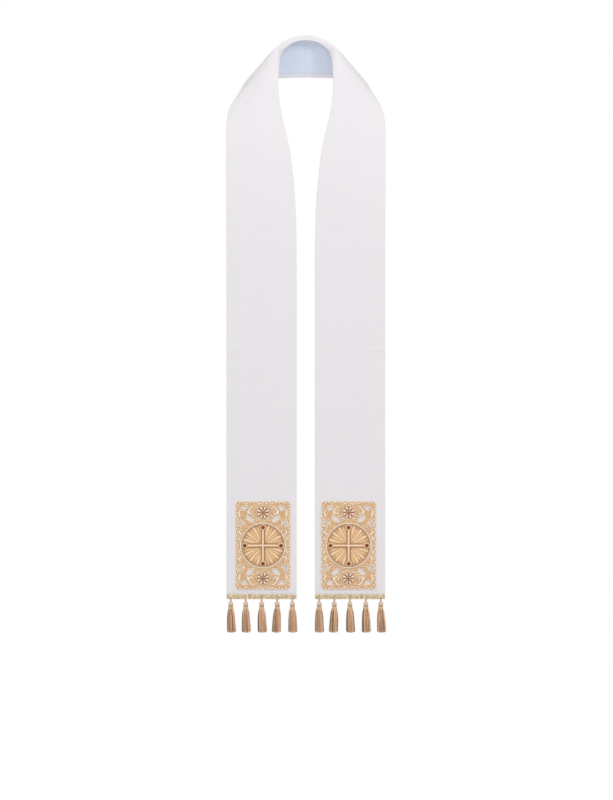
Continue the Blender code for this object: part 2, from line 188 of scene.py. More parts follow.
GAP = 0.3
BRAID_HEIGHT = 11
BRAID_DEPTH = 5.6
BRAID_TOP = -1089.5
BRAID_Y = PANEL_Y - GAP - BRAID_DEPTH / 2
BRAID_Z = BRAID_TOP - BRAID_HEIGHT / 2
BRAID_START = PANEL_INNER_X + GAP
BRAID_LENGTH = PANEL_OUTER_X - PANEL_INNER_X - 2 * GAP
PLAIT_LENGTH = 12
YARN_TWIST_LENGTH = 7
YARN_SWAY_OUT = 1.2
YARN_SWAY_UP = 3.1
YARN_HALF_DEPTH = 1.55
YARN_HALF_HEIGHT = 2.4

TASSEL_PLACES = (28, 59.6, 92.2, 125.4, 156.7)
TASSEL_TOP = BRAID_Z - BRAID_HEIGHT / 2 - GAP
TASSEL_BOTTOM = -1170
TASSEL_THREADS = 210
TURN_BETWEEN_THREADS = 2.39996
THREAD_RADIUS = 0.42
# Height under the tassel's top and distance from its middle, down an outermost thread that ends at the bottom
THREAD_DROPS = (-17.5, -20.5, -24, -30, -42)
THREAD_REACH = np.array([4.2, 5.9, 7.0, 8.0, 9.0, 10.0])
# Bunches of threads, from the right side round by the back and the left side to the front. The listed dark
# bunches at the right and left sides are painted shade at the tassel's edges, more of it on the left. One more
# dark bunch is chosen by chance in each of the spans, as the threads' own darker tone; both kinds take the
# same dark finish.
BUNCHES = 28
SHADED_EDGE_BUNCHES = (0, 13, 14, 15, 16, 27)
DARK_SPANS = ((3, 6), (8, 11), (17, 20), (22, 26))
DARK_AND_SHADE_FINISH = 2
DARK_SETBACK = 0.45
TASSEL_LEANS = (0.8, -1.8, 1.5, 1.1, 1.8)
LOOP_HALF_WIDTH = 1.15
LOOP_HALF_HEIGHT = 4.4
LOOP_DROP = 1.2
LOOP_RADIUS = 0.85
# Drop below the tassel's top and radius: the knob, then the neck under its windings
HEAD_PROFILE = np.array([
    (4.0, 0), (4.2, 1.6), (5.0, 3.2), (6.2, 4.4), (7.8, 5.0), (9.6, 4.9), (11.2, 4.3), (12.4, 3.8),
    (13.4, 3.9), (18.4, 4.5), (18.8, 0),
])
Winding = namedtuple("Winding", "drop radius finish")
NECK_WINDINGS = [
    Winding(12.4, 4.0, "neck"), Winding(13.9, 4.1, "neck"),
    Winding(15.4, 4.5, "rope"), Winding(16.9, 4.8, "rope"), Winding(18.4, 5.0, "rope"),
]


# Finishes

def add_node(tree, kind, inputs=(), **settings):
    """Node with these settings, its inputs set to values or joined to other nodes' outputs."""
    made = tree.nodes.new(kind)
    for name, value in settings.items():
        setattr(made, name, value)
    for name, value in dict(inputs).items():
        if isinstance(value, bpy.types.NodeSocket):
            tree.links.new(value, made.inputs[name])
        else:
            made.inputs[name].default_value = value
    return made


def start_finish(name, roughness, **sockets):
    """New finish, its nodes, and its shader with these sockets set."""
    made = bpy.data.materials.new(name)
    made.use_nodes = True
    tree = made.node_tree
    shader = tree.nodes["Principled BSDF"]
    shader.inputs["Roughness"].default_value = roughness
    for socket, value in sockets.items():
        shader.inputs[socket.replace("_", " ")].default_value = value
    return made, tree, shader


def scaled_place(tree, source, scale, slant=0.0):
    """Coordinates from the piece's flat sizes (UV) or its place (Object), as multiples of metres."""
    place = add_node(tree, "ShaderNodeTexCoord")
    inputs = {"Vector": place.outputs[source], "Scale": scale, "Rotation": (0, 0, slant)}
    return add_node(tree, "ShaderNodeMapping", inputs).outputs[0]


def colour_by(tree, shader, factor, dark, light, low, high, middle=None):
    """The surface's colour runs from dark to light as the factor goes from low to high."""
    ramp = add_node(tree, "ShaderNodeValToRGB", {"Fac": factor})
    ramp.color_ramp.elements[0].position = low
    ramp.color_ramp.elements[0].color = (*dark, 1)
    ramp.color_ramp.elements[1].position = high
    ramp.color_ramp.elements[1].color = (*light, 1)
    if middle:
        ramp.color_ramp.elements.new((low + high) / 2).color = (*middle, 1)
    tree.links.new(ramp.outputs["Color"], shader.inputs["Base Color"])


def mixed(tree, pattern, share, other):
    """The first pattern times its share, plus the other pattern."""
    inputs = {0: pattern, 1: share, 2: other}
    return add_node(tree, "ShaderNodeMath", inputs, operation="MULTIPLY_ADD").outputs[0]


def clouds(tree, place, scale=1, detail=2, roughness=0.5):
    inputs = {"Vector": place, "Scale": scale, "Detail": detail, "Roughness": roughness}
    return add_node(tree, "ShaderNodeTexNoise", inputs).outputs["Fac"]


def bands(tree, place, direction, scale, distortion=0.0, detail=2):
    inputs = {"Vector": place, "Scale": scale, "Distortion": distortion, "Detail": detail}
    return add_node(tree, "ShaderNodeTexWave", inputs, bands_direction=direction).outputs["Fac"]


def thread_scale(thread_mm):
    """Scale at which a band is as wide as a thread, on coordinates in millimetres."""
    return math.tau / 20 / thread_mm


def raise_by(tree, shader, height, distance, strength=0.6, under=None):
    """Relief in the finish, on top of another one where that is given."""
    inputs = {"Height": height, "Distance": distance, "Strength": strength}
    if under:
        inputs["Normal"] = under
    bump = add_node(tree, "ShaderNodeBump", inputs)
    tree.links.new(bump.outputs["Normal"], shader.inputs["Normal"])
    return bump.outputs["Normal"]


def woven_finish(name, dark, light, thread_mm, roughness, **sockets):
    """Fine plain weave on the cloth's own flat sizes, with slubs and a faint unevenness of tone."""
    made, tree, shader = start_finish(name, roughness, **sockets)
    flat = scaled_place(tree, "UV", IN_MM)
    warp = bands(tree, flat, "X", thread_scale(thread_mm), 0.4)
    weft = bands(tree, flat, "Y", thread_scale(thread_mm), 0.4)
    slubs = clouds(tree, scaled_place(tree, "UV", (900, 60, 1)), detail=3)
    tone = mixed(tree, clouds(tree, flat, 0.02), 0.25, slubs)
    colour_by(tree, shader, tone, dark, light, 0.4, 0.95)
    under = raise_by(tree, shader, slubs, 0.00008, 0.3)
    raise_by(tree, shader, mixed(tree, warp, 1, weft), 0.00008, 0.35, under)
    return made


def stitched_finish(name, dark, light, thread_mm, roughness, slant=0.0, flecks=(0.12, 1.6, 1), **sockets):
    """Satin stitch: threads lie side by side across a shape whose UV map gives its length upwards."""
    made, tree, shader = start_finish(name, roughness, **sockets)
    flat = scaled_place(tree, "UV", IN_MM, slant)
    threads = bands(tree, flat, "Y", thread_scale(thread_mm), 0.6, detail=1)
    streaks = clouds(tree, add_node(tree, "ShaderNodeMapping", {"Vector": flat, "Scale": flecks}).outputs[0])
    colour_by(tree, shader, mixed(tree, threads, 0.35, streaks), dark, light, 0.42, 0.85)
    raise_by(tree, shader, threads, 0.00015)
    return made


def couched_finish(name, dark, light, roughness, **sockets):
    """Ground of gold threads laid in a small basket pattern, on the piece's own place."""
    made, tree, shader = start_finish(name, roughness, **sockets)
    place = scaled_place(tree, "Object", IN_MM)
    basket = {"Vector": place, "Scale": 0.45, "Color1": (1, 1, 1, 1), "Color2": (0, 0, 0, 1)}
    basket = add_node(tree, "ShaderNodeTexChecker", basket).outputs["Fac"]
    upright, level = bands(tree, place, "X", 0.63), bands(tree, place, "Z", 0.63)
    threads = add_node(tree, "ShaderNodeMix", {0: basket, 2: upright, 3: level}, data_type="FLOAT").outputs[0]
    tone = mixed(tree, threads, 0.3, clouds(tree, place, 0.5, 3))
    colour_by(tree, shader, tone, dark, light, 0.45, 0.78)
    raise_by(tree, shader, threads, 0.0002)
    return made


def hanging_thread_finish(name, dark, middle, light, roughness, **sockets):
    """Threads that hang: long streaks of three tones down their length."""
    made, tree, shader = start_finish(name, roughness, **sockets)
    streaks = clouds(tree, scaled_place(tree, "Object", (600, 600, 12)), detail=3, roughness=0.6)
    colour_by(tree, shader, streaks, dark, light, 0.32, 0.68, middle)
    fibres = clouds(tree, scaled_place(tree, "Object", (2600, 2600, 60)))
    raise_by(tree, shader, fibres, 0.00015, 0.5)
    return made


def polished_finish(name, core, rim, roughness, **sockets):
    """Stone or bead: a darker heart with soft clouds, under a clear polish."""
    made, tree, shader = start_finish(name, roughness, **sockets)
    inside = clouds(tree, scaled_place(tree, "Object", IN_MM), 0.35, 3)
    colour_by(tree, shader, inside, core, rim, 0.35, 0.7)
    return made


def make_finishes():
    soft_gold = {"Metallic": 0.05, "Sheen_Weight": 0.05}
    return {
        "cloth": woven_finish(
            "ivory cloth", (0.743, 0.718, 0.743), (0.772, 0.747, 0.772), 0.45, 0.75, Sheen_Weight=0.1
        ),
        "lining": woven_finish(
            "pale blue lining", (0.625, 0.688, 0.802), (0.665, 0.727, 0.840), 0.3, 0.5, Sheen_Weight=0.3
        ),
        "slip stitch": stitched_finish("lining thread", (0.62, 0.69, 0.80), (0.72, 0.78, 0.88), 0.3, 0.6),
        "ground": couched_finish(
            "couched gold ground", (0.48, 0.30, 0.16), (0.88, 0.62, 0.39), 0.55, **soft_gold
        ),
        "cream stitch": stitched_finish(
            "cream satin stitch", (0.88, 0.68, 0.50), (1.0, 0.88, 0.72), 0.45, 0.45, **soft_gold
        ),
        "pale stitch": stitched_finish(
            "pale gold satin stitch", (0.80, 0.53, 0.31), (0.98, 0.72, 0.48), 0.45, 0.45, **soft_gold
        ),
        "gold stitch": stitched_finish(
            "gold satin stitch", (0.68, 0.39, 0.19), (0.98, 0.64, 0.34), 0.45, 0.42, **soft_gold
        ),
        "bronze stitch": stitched_finish(
            "bronze satin stitch", (0.46, 0.26, 0.12), (0.72, 0.43, 0.21), 0.45, 0.5
        ),
        "brown stitch": stitched_finish(
            "brown satin stitch", (0.30, 0.15, 0.07), (0.52, 0.29, 0.15), 0.45, 0.5
        ),
        "petals": stitched_finish("russet satin stitch", (0.28, 0.09, 0.04), (0.50, 0.22, 0.11), 0.45, 0.45),
        "padding": stitched_finish(
            "padded satin roll", (0.90, 0.58, 0.35), (0.99, 0.74, 0.50), 0.4, 0.4, **soft_gold
        ),
        "rope": stitched_finish(
            "twisted gold cord", (0.64, 0.41, 0.22), (0.98, 0.76, 0.52), 0.35, 0.45, slant=0.6, **soft_gold
        ),
        "cream rope": stitched_finish(
            "twisted cream cord", (0.86, 0.68, 0.52), (1.0, 0.90, 0.76), 0.35, 0.45, slant=0.6, **soft_gold
        ),
        "dark rope": stitched_finish(
            "bronze cord", (0.30, 0.13, 0.045), (0.52, 0.26, 0.105), 0.35, 0.5, slant=0.6, **soft_gold
        ),
        "stone": polished_finish(
            "red stone", (0.10, 0.012, 0.005), (0.36, 0.06, 0.02), 0.15, Specular_IOR_Level=0.3
        ),
        "bead": polished_finish("white bead", (0.80, 0.66, 0.58), (0.90, 0.78, 0.70), 0.2, Coat_Weight=0.3),
        "gold bead": polished_finish("gold bead", (0.78, 0.50, 0.26), (0.97, 0.72, 0.45), 0.3, Metallic=0.15),
        "braid": stitched_finish(
            "braid yarn", (0.40, 0.235, 0.11), (1.0, 0.87, 0.62), 0.9, 0.55,
            slant=0.5, flecks=(0.22, 0.24, 1), **soft_gold,
        ),
        "head": stitched_finish(
            "tassel head winding", (0.38, 0.24, 0.145), (0.95, 0.77, 0.61), 0.8, 0.5, **soft_gold
        ),
        "neck": stitched_finish(
            "tassel neck winding", (0.26, 0.15, 0.08), (0.66, 0.46, 0.31), 0.5, 0.5, **soft_gold
        ),
        "skirt": hanging_thread_finish(
            "tassel threads", (0.42, 0.25, 0.13), (0.74, 0.455, 0.285), (0.96, 0.70, 0.51), 0.5
        ),
        "light skirt": hanging_thread_finish(
            "light tassel threads", (0.66, 0.41, 0.24), (0.92, 0.62, 0.41), (1.0, 0.82, 0.64), 0.5
        ),
        # dark threads: their own darker tone in the bunches chosen by chance, and painted shade in the bunches
        # at the tassel's edges
        "dark and shaded skirt": hanging_thread_finish(
            "dark and painted-shade tassel threads", (0.18, 0.12, 0.065), (0.30, 0.205, 0.12), (0.50, 0.33, 0.20), 0.5
        ),
    }


# Building blocks

def new_shape():
    shape = bmesh.new()
    shape.loops.layers.uv.verify()
    return shape


def place_grid(shape, points, flat, finish_number=0):
    """Grid moved onto these points, row by row. Its UV map holds the flat sizes, in metres."""
    rows, columns = points.shape[:2]
    made = bmesh.ops.create_grid(shape, x_segments=columns - 1, y_segments=rows - 1, size=1)
    layer = shape.loops.layers.uv.active
    for point, place, uv in zip(made["verts"], points.reshape(-1, 3), flat.reshape(-1, 2) * MM):
        point.co = place
        for loop in point.link_loops:
            loop[layer].uv = uv
            loop.face.material_index = finish_number


def finish_piece(name, shape, finishes, nodes, place=None, closed=True, sharp=50):
    """Object from a shape in millimetres, which rides on the stole and stands for these nodes."""
    bmesh.ops.remove_doubles(shape, verts=shape.verts, dist=0.0005)
    if closed:
        bmesh.ops.recalc_face_normals(shape, faces=shape.faces)
    to_metres = Matrix.Scale(MM, 4) @ (place or Matrix.Identity(4))
    bmesh.ops.transform(shape, matrix=to_metres, verts=shape.verts)
    mesh = bpy.data.meshes.new(name)
    shape.to_mesh(mesh)
    shape.free()
    for finish in finishes:
        mesh.materials.append(FINISH[finish])
    mesh.shade_smooth()
    mesh.set_sharp_from_angle(angle=math.radians(sharp))
    piece = bpy.data.objects.new(name, mesh)
    bpy.context.scene.collection.objects.link(piece)
    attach(piece, "root")
    if nodes:
        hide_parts(*nodes)
    return piece


def even_steps(line, step, closed):
    """Points at even steps along a line, and their distances from its start."""
    line = np.asarray(line, float)
    if closed:
        line = np.vstack([line, line[:1]])
    distances = np.concatenate([[0], np.cumsum(np.linalg.norm(np.diff(line, axis=0), axis=1))])
    count = max(2, round(distances[-1] / step))
    wanted = np.linspace(0, distances[-1], count + 1)
    return np.stack([np.interp(wanted, distances, values) for values in line.T], axis=1), wanted


def line_frames(points, closed):
    """Direction to the side and direction up at each point of a line that lies mostly flat."""
    if closed:
        padded = np.vstack([points[-2], points, points[1]])
        along = padded[2:] - padded[:-2]
    else:
        along = np.gradient(points, axis=0)
    along /= np.linalg.norm(along, axis=1, keepdims=True)
    sideways = np.cross(along, (0, 0, 1))
    sideways /= np.linalg.norm(sideways, axis=1, keepdims=True)
    return sideways, np.cross(sideways, along)


def rings_round(points, sideways, up, angles, radii):
    """Rings round the points of a line, each at these angles and radii."""
    return (
        points[:, None, :]
        + sideways[:, None, :] * (np.cos(angles) * radii)[:, :, None]
        + up[:, None, :] * (np.sin(angles) * radii)[:, :, None]
    )


def add_rope(shape, line, radius, pitch, step, closed=False, around=8, finish_number=0):
    """Cord of two plies along a line: they show as lobes that turn once in a pitch."""
    points, distances = even_steps(line, step, closed)
    sideways, up = line_frames(points, closed)
    if closed:
        pitch = 2 * distances[-1] / max(1, round(2 * distances[-1] / pitch))
    angles = np.linspace(0, math.tau, around + 1)[None, :]
    twist = distances[:, None] / pitch * math.tau
    radii = radius * (PLY_GROOVE + (1 - PLY_GROOVE) * np.abs(np.sin(angles - twist)))
    if not closed:
        ends = np.minimum(np.arange(len(points)), np.arange(len(points))[::-1])
        radii = radii * np.interp(ends, (0, 1, 2), (0, 0.75, 1))[:, None]
    flat = np.stack([angles * radius + 0 * twist, distances[:, None] + 0 * angles], axis=2)
    place_grid(shape, rings_round(points, sideways, up, angles, radii), flat, finish_number)


def add_loop(shape, line, radius, finish_number):
    """Plain cord along a line that stands upright, facing the viewer."""
    along = np.gradient(line, axis=0)
    along /= np.linalg.norm(along, axis=1, keepdims=True)
    forwards = np.array([[0.0, 1, 0]])
    angles = np.linspace(0, math.tau, 7)[None, :]
    radii = np.full((len(line), 1), radius)
    radii[0] = radii[-1] = 0
    rings = rings_round(line, forwards, np.cross(forwards, along), angles, radii)
    flat = np.stack([angles + 0 * radii, np.arange(len(line))[:, None] * 0.7 + 0 * angles], axis=2)
    place_grid(shape, rings, flat, finish_number)


def add_satin(shape, line, widths, height, back, finish_number=0, around=6):
    """Padded satin shape along a flat line: domed on top, flat below, and closed to a point at both ends."""
    points = raised_line(line, 0.0)
    sideways = line_frames(points, closed=False)[0]
    fullness = widths / widths.max()
    angles = np.linspace(0, math.pi, around)
    across = np.append(np.cos(angles), 1)[None, :]
    lift = np.append(np.sin(angles) ** 0.8, 0)[None, :]
    rings = points[:, None, :] + sideways[:, None, :] * (across * widths[:, None] / 2)[:, :, None]
    rings[:, :, 2] = back + lift * height * (0.35 + 0.65 * fullness[:, None])
    rings[0] = (*line[0], back + 0.2 * height)
    rings[-1] = (*line[-1], back + 0.2 * height)
    distances = np.concatenate([[0], np.cumsum(np.linalg.norm(np.diff(line, axis=0), axis=1))])
    flat = np.stack([across * widths[:, None] / 2, distances[:, None] + 0 * across], axis=2)
    place_grid(shape, rings, flat, finish_number)


def leaf_widths(count, width, fullest):
    """Widths of a leaf: nothing at its ends and fullest this far along."""
    share = np.linspace(0, 1, count)
    bent = share ** (math.log(0.5) / math.log(fullest))
    return width * np.sin(math.pi * bent) ** 0.8


def direction_at(angle):
    return np.array((math.cos(angle), math.sin(angle)))


def circle_line(count, radius=1.0):
    angles = np.arange(count) / count * math.tau
    return np.column_stack([np.cos(angles), np.sin(angles)]) * radius


def raised_line(line, height):
    return np.column_stack([line, np.full(len(line), height)])


def straight_line(start, stop, count):
    share = np.linspace(0, 1, count)[:, None]
    return np.array(start) * (1 - share) + np.array(stop) * share


def curved_line(knots, count):
    """Smooth line through the given points."""
    knots = np.asarray(knots, float)
    padded = np.vstack([2 * knots[0] - knots[1], knots, 2 * knots[-1] - knots[-2]])
    found = []
    for place in np.linspace(0, len(knots) - 1, count):
        i = min(int(place), len(knots) - 2)
        t = place - i
        a, b, c, d = padded[i : i + 4]
        bend, twist = 2 * a - 5 * b + 4 * c - d, 3 * b - a - 3 * c + d
        found.append(0.5 * (2 * b + (c - a) * t + bend * t**2 + twist * t**3))
    return np.array(found)


def add_bead(shape, place, radius, squash=1.0, finish_number=0, segments=8):
    """Round bead, pressed flatter where it is squashed."""
    made = bmesh.ops.create_uvsphere(
        shape, u_segments=segments, v_segments=segments // 2 + 1, radius=radius,
        matrix=Matrix.Translation(place) @ Matrix.Diagonal((1, 1, squash, 1)),
    )
    for point in made["verts"]:
        for face in point.link_faces:
            face.material_index = finish_number


def spun(shape, profile, steps, place, finish_number=0):
    """Closed turned shape from its profile, radius and height, round an axis that points out of the panel."""
    start = len(shape.verts)
    line = [shape.verts.new((radius, 0, height)) for radius, height in profile]
    edges = [shape.edges.new(pair) for pair in zip(line, line[1:])]
    bmesh.ops.spin(
        shape, geom=line + edges, cent=(0, 0, 0), axis=(0, 0, 1), angle=math.tau, steps=steps, use_merge=True
    )
    shape.verts.ensure_lookup_table()
    made = shape.verts[start:]
    for point in made:
        point.co += Vector(place)
        for face in point.link_faces:
            face.material_index = finish_number


# The cloth's form

def worn_strip():
    """Closely spaced sections of the strip from the seam to the hem, each with the slope of both edges."""
    panel = [
        Section(
            PANEL_INNER_X, PANEL_Y, level,
            PANEL_OUTER_X, PANEL_Y, level,
            PANEL_CROWN if level > FLAT_BELOW else 0, 0,
        )
        for level in PANEL_LEVELS
    ]
    known = np.array(WORN_SECTIONS + panel, float)
    known = np.vstack([known[1] * MIRRORED, known])
    spans = np.linalg.norm(np.diff(known[:, :6], axis=0), axis=1)
    slopes = np.gradient(known, np.concatenate([[0], np.cumsum(spans)]), axis=0)
    rows = []
    for i in range(1, len(known) - 1):
        for t in np.linspace(0, 1, 24, endpoint=False):
            rows.append(
                (2 * t**3 - 3 * t**2 + 1) * known[i]
                + (t**3 - 2 * t**2 + t) * spans[i] * slopes[i]
                + (3 * t**2 - 2 * t**3) * known[i + 1]
                + (t**3 - t**2) * spans[i] * slopes[i + 1]
            )
    rows.append(known[-1])
    rows = np.array(rows)
    both = np.vstack([rows[1:4][::-1] * MIRRORED, rows])
    edge_slopes = np.gradient(both, axis=0)[3:, :6]
    middle = (rows[:, :3] + rows[:, 3:6]) / 2
    lengths = np.concatenate([[0], np.cumsum(np.linalg.norm(np.diff(middle, axis=0), axis=1))])
    return lengths, np.hstack([rows, edge_slopes])


def strip_sections(along):
    """Sections at these distances from the seam. Before the seam they are the other half's, turned over."""
    rows = np.stack([np.interp(np.abs(along), STRIP_LENGTHS, values) for values in STRIP_ROWS.T], axis=1)
    other_half = along < 0
    rows[other_half, :8] *= MIRRORED
    rows[other_half, 8:] *= (1, -1, -1, 1, -1, -1)
    return rows


def hump(share, peak):
    """Rises from nothing at the inner edge to its peak, and falls slowly to nothing at the outer edge."""
    return share / peak * np.exp(1 - share / peak) * (1 - share)


def bare_points(along, share):
    """Points on the strip without creases, at these distances from the seam and shares across."""
    rows = strip_sections(along)
    inner, outer = rows[:, None, :3], rows[:, None, 3:6]
    share = share[:, :, None]
    straight = inner + (outer - inner) * share
    down = rows[:, None, 8:11] + (rows[:, None, 11:14] - rows[:, None, 8:11]) * share
    lifts = np.cross(down, outer - inner + 0 * straight)
    lifts /= np.linalg.norm(lifts, axis=2, keepdims=True)
    crown, roll = rows[:, None, 6:7], rows[:, None, 7:8]
    bulge = crown * np.sin(math.pi * share) + ROLL_OUTWARDS * roll * hump(share, 2 * ROLL_PEAK)
    return straight + lifts * bulge + roll * hump(share, ROLL_PEAK) * (0, 0, 1)


def arcs_at(along):
    """Distances from the neck's edge, along the cloth, of finely spaced shares across it."""
    points = bare_points(along, np.tile(FINE_SHARES, (len(along), 1)))
    steps = np.linalg.norm(np.diff(points, axis=1), axis=2)
    return np.hstack([np.zeros((len(along), 1)), np.cumsum(steps, axis=1)])


def widths_at(along):
    return arcs_at(along)[:, -1]


def flat_cut(beyond_sides, beyond_hem):
    """Width and length in metres, and area, of a half's cut that reaches this far past its finished edges."""
    widths = widths_at(np.linspace(0, STRIP_LENGTH, 300)) + 2 * beyond_sides
    length = STRIP_LENGTH + beyond_hem
    return (widths.max() * MM, length * MM), widths.mean() * length * MM**2


def shares_at(along, across):
    return np.array([np.interp(row, arcs, FINE_SHARES) for row, arcs in zip(across, arcs_at(along))])


def crease_heights(along, across):
    """How far the creases lift the cloth at these places."""
    heights = 0 * across
    for crease in CREASES:
        slant = math.radians(crease.slant)
        down = along[:, None] - crease.along
        out = across - crease.across
        lengthwise = (out * math.cos(slant) + down * math.sin(slant)) / crease.reach
        sideways = (down * math.cos(slant) - out * math.sin(slant)) / crease.width
        heights += crease.height * np.exp(-(sideways**2) - lengthwise**4)
    return heights


def cloth_points(along, across, depths):
    """Points this deep under the cloth's face, with its creases. Across is measured from the neck's edge."""
    share = shares_at(along, across)
    points = bare_points(along, share)
    down = bare_points(along + 1, share) - bare_points(along - 1, share)
    sideways = bare_points(along, share + 0.01) - bare_points(along, share - 0.01)
    normals = np.cross(down, sideways)
    normals /= np.linalg.norm(normals, axis=2, keepdims=True)
    return points + normals * (crease_heights(along, across) - depths)[:, :, None]


def onto_side(points, side):
    """Half of the stole on this side, clear of the other half at the seam."""
    points = points.copy()
    points[:, :, 0] = side * np.maximum(points[:, :, 0], SEAM_GAP / 2)
    return points


def face_outwards(shape, side, towards_wearer=False):
    """A grid's faces look to the wearer on the right half and to the viewer on the left half."""
    if (side > 0) != towards_wearer:
        bmesh.ops.reverse_faces(shape, faces=shape.faces)


def add_thickness(piece, thickness):
    wall = piece.modifiers.new("thickness", "SOLIDIFY")
    wall.thickness = thickness * MM
    wall.offset = -1


# Both halves of the strip

def rounded(distance):
    """Share of the fold's depth that the cloth has come round at this distance from the fold's edge."""
    near = np.clip(distance / FOLD, 0, 1)
    return np.sqrt(1 - (1 - near) ** 2)


def make_cloth(side_name, side):
    """One layer of cloth that comes round at both edges and the hem, with mitred corners."""
    near_fold = np.array([0.12, 0.45, FOLD])
    turned = np.array([*near_fold, 5, 10, TURNING])
    # Columns: up the inner turning, round its fold, over the face, round the outer fold and down its turning
    middle = ACROSS_SHARES[1:-1]
    inner_edge = np.concatenate([turned[::-1], [0], near_fold])
    share = np.concatenate([0 * inner_edge, middle, 0 * inner_edge + 1])
    offset = np.concatenate([inner_edge, FOLD * (1 - 2 * middle), -inner_edge[::-1]])
    behind = np.zeros(len(share), bool)
    behind[: len(turned)] = True
    behind[-len(turned) :] = True
    # Rows: from the seam down to the hem's fold and up behind it
    upper = np.linspace(FOLD, STRIP_LENGTH - TURNING, CLOTH_ROWS)
    along = np.concatenate([[0, 0.05, 0.18, 0.45], upper, STRIP_LENGTH - turned[-2::-1], [STRIP_LENGTH]])
    hem = np.concatenate([np.zeros(len(along)), turned])[:, None]
    along = np.concatenate([along, STRIP_LENGTH - turned])
    widths = widths_at(along)[:, None]
    from_bottom = (STRIP_LENGTH - along)[:, None]
    across = share[None, :] * widths + offset[None, :]
    from_edge = np.minimum(across, widths - across)
    in_hem, in_turning, inner_half = hem > 0, behind[None, :], share[None, :] < 0.5
    # Where the hem and an edge's turning meet, both stop at the mitre
    in_corner = in_turning & (from_edge > from_bottom)
    past_mitre = in_corner | (in_hem & (from_edge < hem)) | (in_hem & in_turning)
    from_edge = np.where(past_mitre, np.where(in_hem, hem, from_bottom), from_edge)
    near_edge = from_edge < widths / 2 - 0.01
    placed = np.where(near_edge, np.where(inner_half, from_edge, widths - from_edge), across)
    direction = np.where(in_turning | in_hem, -1, 1)
    rounding = rounded(from_edge) * rounded(from_bottom) * rounded(2.5 * along)[:, None]
    points = cloth_points(along, placed, FOLD * (1 - direction * rounding))
    flat_across = np.where(in_turning, np.where(inner_half, -from_edge, widths + from_edge), placed)
    flat_along = np.where(in_hem, STRIP_LENGTH + hem, along[:, None])
    flat = np.stack([flat_across, flat_along + 0 * flat_across], axis=2)
    shape = new_shape()
    place_grid(shape, onto_side(points, side), flat)
    face_outwards(shape, side)
    piece = finish_piece(
        f"ivory_cloth_{side_name}", shape, ["cloth"], [f"outer_cloth_{side_name}"], closed=False
    )
    add_thickness(piece, CLOTH)
    return piece


def lining_edge_depth(distance):
    """The lining lies on the cloth's turnings at its own edge and sinks behind them further in."""
    return np.interp(distance, (0, 0.25, 0.6, 4, LINING_EDGE), (2.45, 2.8, LINING_DEPTH, LINING_DEPTH, 2.4))


def make_lining(side_name, side):
    edge_steps = np.array([0, 0.25, 0.6, 2, 4, 6, LINING_EDGE])
    middle = ACROSS_SHARES[1:-1]
    share = np.concatenate([0 * edge_steps, middle, 0 * edge_steps + 1])
    offset = np.concatenate([edge_steps, LINING_EDGE * (1 - 2 * middle), -edge_steps[::-1]])
    bottom = STRIP_LENGTH - LINING_FROM_EDGE
    even_rows = np.linspace(LINING_FIRST_ROW, bottom - LINING_EDGE, LINING_ROWS)
    along = np.concatenate([[0], even_rows, bottom - edge_steps[::-1][1:]])
    widths = widths_at(along)[:, None] - 2 * LINING_FROM_EDGE
    across = share[None, :] * widths + offset[None, :]
    from_edge = np.minimum(np.minimum(across, widths - across), (bottom - along)[:, None])
    near_seam = np.interp(along, (0, 4), (0.05, 0))[:, None]
    depths = lining_edge_depth(from_edge) - near_seam
    points = cloth_points(along, across + LINING_FROM_EDGE, depths)
    flat = np.stack([across, along[:, None] + 0 * across], axis=2)
    shape = new_shape()
    place_grid(shape, onto_side(points, side), flat)
    face_outwards(shape, side, towards_wearer=True)
    piece = finish_piece(
        f"blue_lining_{side_name}", shape, ["lining"], [f"lining_{side_name}"], closed=False
    )
    add_thickness(piece, LINING_THICK)
    return piece


def make_slip_stitches(side_name, side):
    """Short slanting stitches that hold the lining's edge down."""
    shape = new_shape()
    along = np.arange(4, STRIP_LENGTH - LINING_FROM_EDGE, STITCH_SPACING)
    widths = widths_at(along)[:, None]
    outside, inside = LINING_FROM_EDGE - STITCH_REACH, LINING_FROM_EDGE + STITCH_REACH
    outer_ends = np.concatenate([0 * widths + outside, widths - outside], axis=1)
    inner_ends = np.concatenate([0 * widths + inside, widths - inside], axis=1)
    starts = onto_side(cloth_points(along, outer_ends, 2.4 + 0 * outer_ends), side)
    stops = onto_side(cloth_points(along + 1.4, inner_ends, 3.0 + 0 * inner_ends), side)
    for start, stop in zip(starts.reshape(-1, 3), stops.reshape(-1, 3)):
        reach = Vector(stop - start)
        turned = reach.to_track_quat("Z", "Y").to_matrix().to_4x4()
        slim = Matrix.Diagonal((STITCH_RADIUS, STITCH_RADIUS, reach.length / 2, 1))
        spot = Matrix.Translation((start + stop) / 2) @ turned @ slim
        bmesh.ops.create_icosphere(shape, subdivisions=1, radius=1, matrix=spot)
    return finish_piece(f"lining_stitches_{side_name}", shape, ["slip stitch"], [])


# The applique

def on_panel(side):
    """From the applique's own measures to the stole's."""
    return Matrix.Translation((side * APPLIQUE_X, PANEL_Y, APPLIQUE_Z)) @ Matrix.Rotation(math.pi / 2, 4, "X")


def scallops():
    """Start, stop and outward direction of every scallop round the applique."""
    half_width = APPLIQUE_WIDTH / 2 - SCALLOP_DEPTH
    half_height = APPLIQUE_HEIGHT / 2 - SCALLOP_DEPTH
    corners = [np.array((x * half_width, y * half_height)) for x, y in ((-1, -1), (1, -1), (1, 1), (-1, 1))]
    found = []
    for i, count in enumerate([SCALLOPS_ACROSS, SCALLOPS_DOWN] * 2):
        start, stop = corners[i], corners[(i + 1) % 4]
        step = (stop - start) / count
        outwards = np.array((step[1], -step[0])) / np.linalg.norm(step)
        for scallop in range(count):
            found.append((start + step * scallop, start + step * (scallop + 1), outwards))
    return found


def scalloped_outline(inset=0.0, points_each=9):
    points = []
    for start, stop, outwards in scallops():
        for share in np.linspace(0, 1, points_each, endpoint=False):
            bulge = SCALLOP_DEPTH * math.sin(math.pi * share) ** 0.6
            points.append(start + (stop - start) * share + outwards * (bulge - inset))
    return np.array(points)


